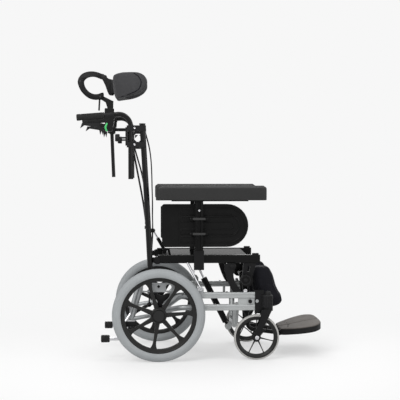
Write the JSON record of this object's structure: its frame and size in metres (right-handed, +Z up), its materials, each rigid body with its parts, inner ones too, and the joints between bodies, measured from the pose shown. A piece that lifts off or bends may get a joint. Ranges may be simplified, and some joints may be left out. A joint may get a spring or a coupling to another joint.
{
  "type": "tilt in space wheelchair",
  "caption": "Attendant wheelchair whose seat tilts in space on a wheeled base, with a reclining back, headrest, armrests and elevating legrests.",
  "frame": {"origin": "on the ground under the middle of the chair's overall length, on its centre line", "axes": "+X forward, towards the footplates; +Y to the occupant's left; +Z up"},
  "size_m": [1.1086, 0.59, 1.2849],
  "materials": {
    "aluminium": "satin extruded aluminium",
    "arm_vinyl": "grained vinyl",
    "black_metal": "satin black powder coat",
    "black_plastic": "fine matte moulding",
    "cable": "black cable sleeve",
    "calf_fabric": "black woven cover",
    "caster_tyre": "light grey solid tyre",
    "chrome": "polished",
    "grey_metal": "grey coated steel",
    "pad_fabric": "knitted cover",
    "rear_tyre": "grey solid tyre",
    "rim_plastic": "satin moulded nylon",
    "rubber": "matte rubber",
    "sole": "grey-brown textured moulding"
  },
  "bodies": {
    "base": {"base_rails": "aluminium", "rear_frame": "aluminium", "axle_brackets": "black_metal", "axle_plates": "grey_metal", "cross_tube": "aluminium", "caster_housings": "black_plastic", "tilt_brackets": "black_metal", "base_fittings": "black_metal", "tip_levers": "chrome", "tip_pads": "rubber"},
    "seat": {"seat_rails": "black_metal", "seat_bars": "black_metal", "seat_pan": "black_metal", "seat_brackets": "black_metal", "armrest_sockets": "black_metal"},
    "back": {"back_canes": "black_metal", "handle_clamps": "black_metal", "headrest_bracket": "black_metal", "control_cables": "cable"},
    "tilt_cylinder": {"tilt_cylinder": "black_metal"},
    "tilt_rod": {"tilt_rod": "black_metal"},
    "recline_cylinder": {"recline_cylinder": "black_metal"},
    "recline_rod": {"recline_rod": "grey_metal"},
    "headrest_post": {"headrest_post": "black_metal"},
    "headrest_lower_link": {"headrest_lower_link": "black_metal"},
    "headrest_upper_link": {"headrest_upper_link": "black_metal"},
    "headrest_pad": {"headrest_pad_arm": "black_metal", "headrest_pad": "pad_fabric"},
    "right_rear_wheel": {"right_rear_tyre": "rear_tyre", "right_rear_rim": "rim_plastic"},
    "right_caster_fork": {"right_caster_fork": "black_metal"},
    "right_caster_wheel": {"right_caster_tyre": "caster_tyre", "right_caster_rim": "rim_plastic"},
    "right_handle": {"right_handle_tube": "black_metal", "right_handle_grip": "rubber"},
    "right_release_lever": {"right_release_lever": "black_plastic"},
    "right_armrest": {"right_arm_post": "black_metal", "right_arm_pad": "arm_vinyl", "right_side_guard": "black_plastic"},
    "right_leg": {"right_leg_tube": "black_metal", "right_calf_pad": "calf_fabric"},
    "right_foot": {"right_foot_tube": "black_metal"},
    "right_footplate": {"right_footplate": "sole"},
    "right_brake": {"right_brake_lever": "black_metal"},
    "left_rear_wheel": {"left_rear_tyre": "rear_tyre", "left_rear_rim": "rim_plastic"},
    "left_caster_fork": {"left_caster_fork": "black_metal"},
    "left_caster_wheel": {"left_caster_tyre": "caster_tyre", "left_caster_rim": "rim_plastic"},
    "left_handle": {"left_handle_tube": "black_metal", "left_handle_grip": "rubber"},
    "left_release_lever": {"left_release_lever": "black_plastic"},
    "left_armrest": {"left_arm_post": "black_metal", "left_arm_pad": "arm_vinyl", "left_side_guard": "black_plastic"},
    "left_leg": {"left_leg_tube": "black_metal", "left_calf_pad": "calf_fabric"},
    "left_foot": {"left_foot_tube": "black_metal"},
    "left_footplate": {"left_footplate": "sole"},
    "left_brake": {"left_brake_lever": "black_metal"}
  },
  "joints": [
    {"name": "tilt", "type": "hinge", "parent": "base", "child": "seat", "pos_m": [0.13525, 0, 0.408], "axis": [0, -1, 0], "range_deg": [0, 20]},
    {"name": "tilt_cylinder_swing", "type": "hinge", "parent": "base", "child": "tilt_cylinder", "pos_m": [0.13525, 0, 0.112], "axis": [0, -1, 0], "range_deg": [-1, 8]},
    {"name": "tilt_rod_slide", "type": "slide", "parent": "tilt_cylinder", "child": "tilt_rod", "axis": [-0.4472, 0, 0.8944], "range_m": [-0.06, 0.002]},
    {"name": "recline", "type": "hinge", "parent": "seat", "child": "back", "pos_m": [-0.19175, 0, 0.437], "axis": [0, -1, 0], "range_deg": [0, 30]},
    {"name": "recline_cylinder_swing", "type": "hinge", "parent": "seat", "child": "recline_cylinder", "pos_m": [-0.15675, 0, 0.466], "axis": [0, -1, 0], "range_deg": [-1, 34]},
    {"name": "recline_rod_slide", "type": "slide", "parent": "recline_cylinder", "child": "recline_rod", "axis": [-0.5003, 0, 0.8659], "range_m": [-0.002, 0.03]},
    {"name": "headrest_height", "type": "slide", "parent": "back", "child": "headrest_post", "axis": [-0.0394, 0, 0.9992], "range_m": [0, 0.15]},
    {"name": "headrest_lower_pivot", "type": "hinge", "parent": "headrest_post", "child": "headrest_lower_link", "pos_m": [-0.44775, 0, 1.166], "axis": [0, 1, 0], "range_deg": [-15, 0]},
    {"name": "headrest_upper_pivot", "type": "hinge", "parent": "headrest_lower_link", "child": "headrest_upper_link", "pos_m": [-0.53875, 0, 1.236], "axis": [0, 1, 0], "range_deg": [-12, 0]},
    {"name": "headrest_pad_pivot", "type": "hinge", "parent": "headrest_upper_link", "child": "headrest_pad", "pos_m": [-0.43075, 0, 1.253], "axis": [0, 1, 0], "range_deg": [-12, 2]},
    {"name": "right_wheel_spin", "type": "hinge", "parent": "base", "child": "right_rear_wheel", "pos_m": [-0.18675, -0.27, 0.203], "axis": [0, 1, 0], "continuous": true},
    {"name": "right_caster_swivel", "type": "hinge", "parent": "base", "child": "right_caster_fork", "pos_m": [0.29325, -0.235, 0.2165], "axis": [0, 0, 1], "continuous": true},
    {"name": "right_caster_spin", "type": "hinge", "parent": "right_caster_fork", "child": "right_caster_wheel", "pos_m": [0.24325, -0.235, 0.1], "axis": [0, 1, 0], "continuous": true},
    {"name": "right_handle_height", "type": "slide", "parent": "back", "child": "right_handle", "axis": [0, 0, 1], "range_m": [0, 0.1]},
    {"name": "right_lever_squeeze", "type": "hinge", "parent": "right_handle", "child": "right_release_lever", "pos_m": [-0.43475, -0.2, 1.029], "axis": [0, 1, 0], "range_deg": [0, 6], "stiffness_Nm_per_rad": 2, "springref_deg": -5.73},
    {"name": "right_armrest_height", "type": "slide", "parent": "seat", "child": "right_armrest", "axis": [0, 0, 1], "range_m": [0, 0.05]},
    {"name": "right_leg_elevation", "type": "hinge", "parent": "seat", "child": "right_leg", "pos_m": [0.20225, -0.065, 0.348], "axis": [0, -1, 0], "range_deg": [0, 40]},
    {"name": "right_leg_length", "type": "slide", "parent": "right_leg", "child": "right_foot", "axis": [0.0698, 0, -0.9976], "range_m": [0, 0.04]},
    {"name": "right_footplate_flip", "type": "hinge", "parent": "right_foot", "child": "right_footplate", "pos_m": [0.35825, -0.065, 0.092], "axis": [0, -1, 0], "range_deg": [0, 55]},
    {"name": "right_brake_turn", "type": "hinge", "parent": "base", "child": "right_brake", "pos_m": [-0.00383, -0.25, 0.31598], "axis": [0, 1, 0], "range_deg": [0, 45]},
    {"name": "left_wheel_spin", "type": "hinge", "parent": "base", "child": "left_rear_wheel", "pos_m": [-0.18675, 0.27, 0.203], "axis": [0, 1, 0], "continuous": true},
    {"name": "left_caster_swivel", "type": "hinge", "parent": "base", "child": "left_caster_fork", "pos_m": [0.29325, 0.235, 0.2165], "axis": [0, 0, 1], "continuous": true},
    {"name": "left_caster_spin", "type": "hinge", "parent": "left_caster_fork", "child": "left_caster_wheel", "pos_m": [0.24325, 0.235, 0.1], "axis": [0, 1, 0], "continuous": true},
    {"name": "left_handle_height", "type": "slide", "parent": "back", "child": "left_handle", "axis": [0, 0, 1], "range_m": [0, 0.1]},
    {"name": "left_lever_squeeze", "type": "hinge", "parent": "left_handle", "child": "left_release_lever", "pos_m": [-0.43475, 0.2, 1.029], "axis": [0, 1, 0], "range_deg": [0, 6], "stiffness_Nm_per_rad": 2, "springref_deg": -5.73},
    {"name": "left_armrest_height", "type": "slide", "parent": "seat", "child": "left_armrest", "axis": [0, 0, 1], "range_m": [0, 0.05]},
    {"name": "left_leg_elevation", "type": "hinge", "parent": "seat", "child": "left_leg", "pos_m": [0.20225, 0.065, 0.348], "axis": [0, -1, 0], "range_deg": [0, 40]},
    {"name": "left_leg_length", "type": "slide", "parent": "left_leg", "child": "left_foot", "axis": [0.0698, 0, -0.9976], "range_m": [0, 0.04]},
    {"name": "left_footplate_flip", "type": "hinge", "parent": "left_foot", "child": "left_footplate", "pos_m": [0.35825, 0.065, 0.092], "axis": [0, -1, 0], "range_deg": [0, 55]},
    {"name": "left_brake_turn", "type": "hinge", "parent": "base", "child": "left_brake", "pos_m": [-0.00383, 0.25, 0.31598], "axis": [0, 1, 0], "range_deg": [0, 45]}
  ],
  "couplings": [
    {"joint": "tilt_cylinder_swing", "follows": "tilt", "ratio": 0.16201},
    {"joint": "tilt_rod_slide", "follows": "tilt", "m_per_rad": -0.1406},
    {"joint": "recline_cylinder_swing", "follows": "recline", "ratio": 0.96696},
    {"joint": "recline_rod_slide", "follows": "recline", "m_per_rad": 0.044775}
  ]
}
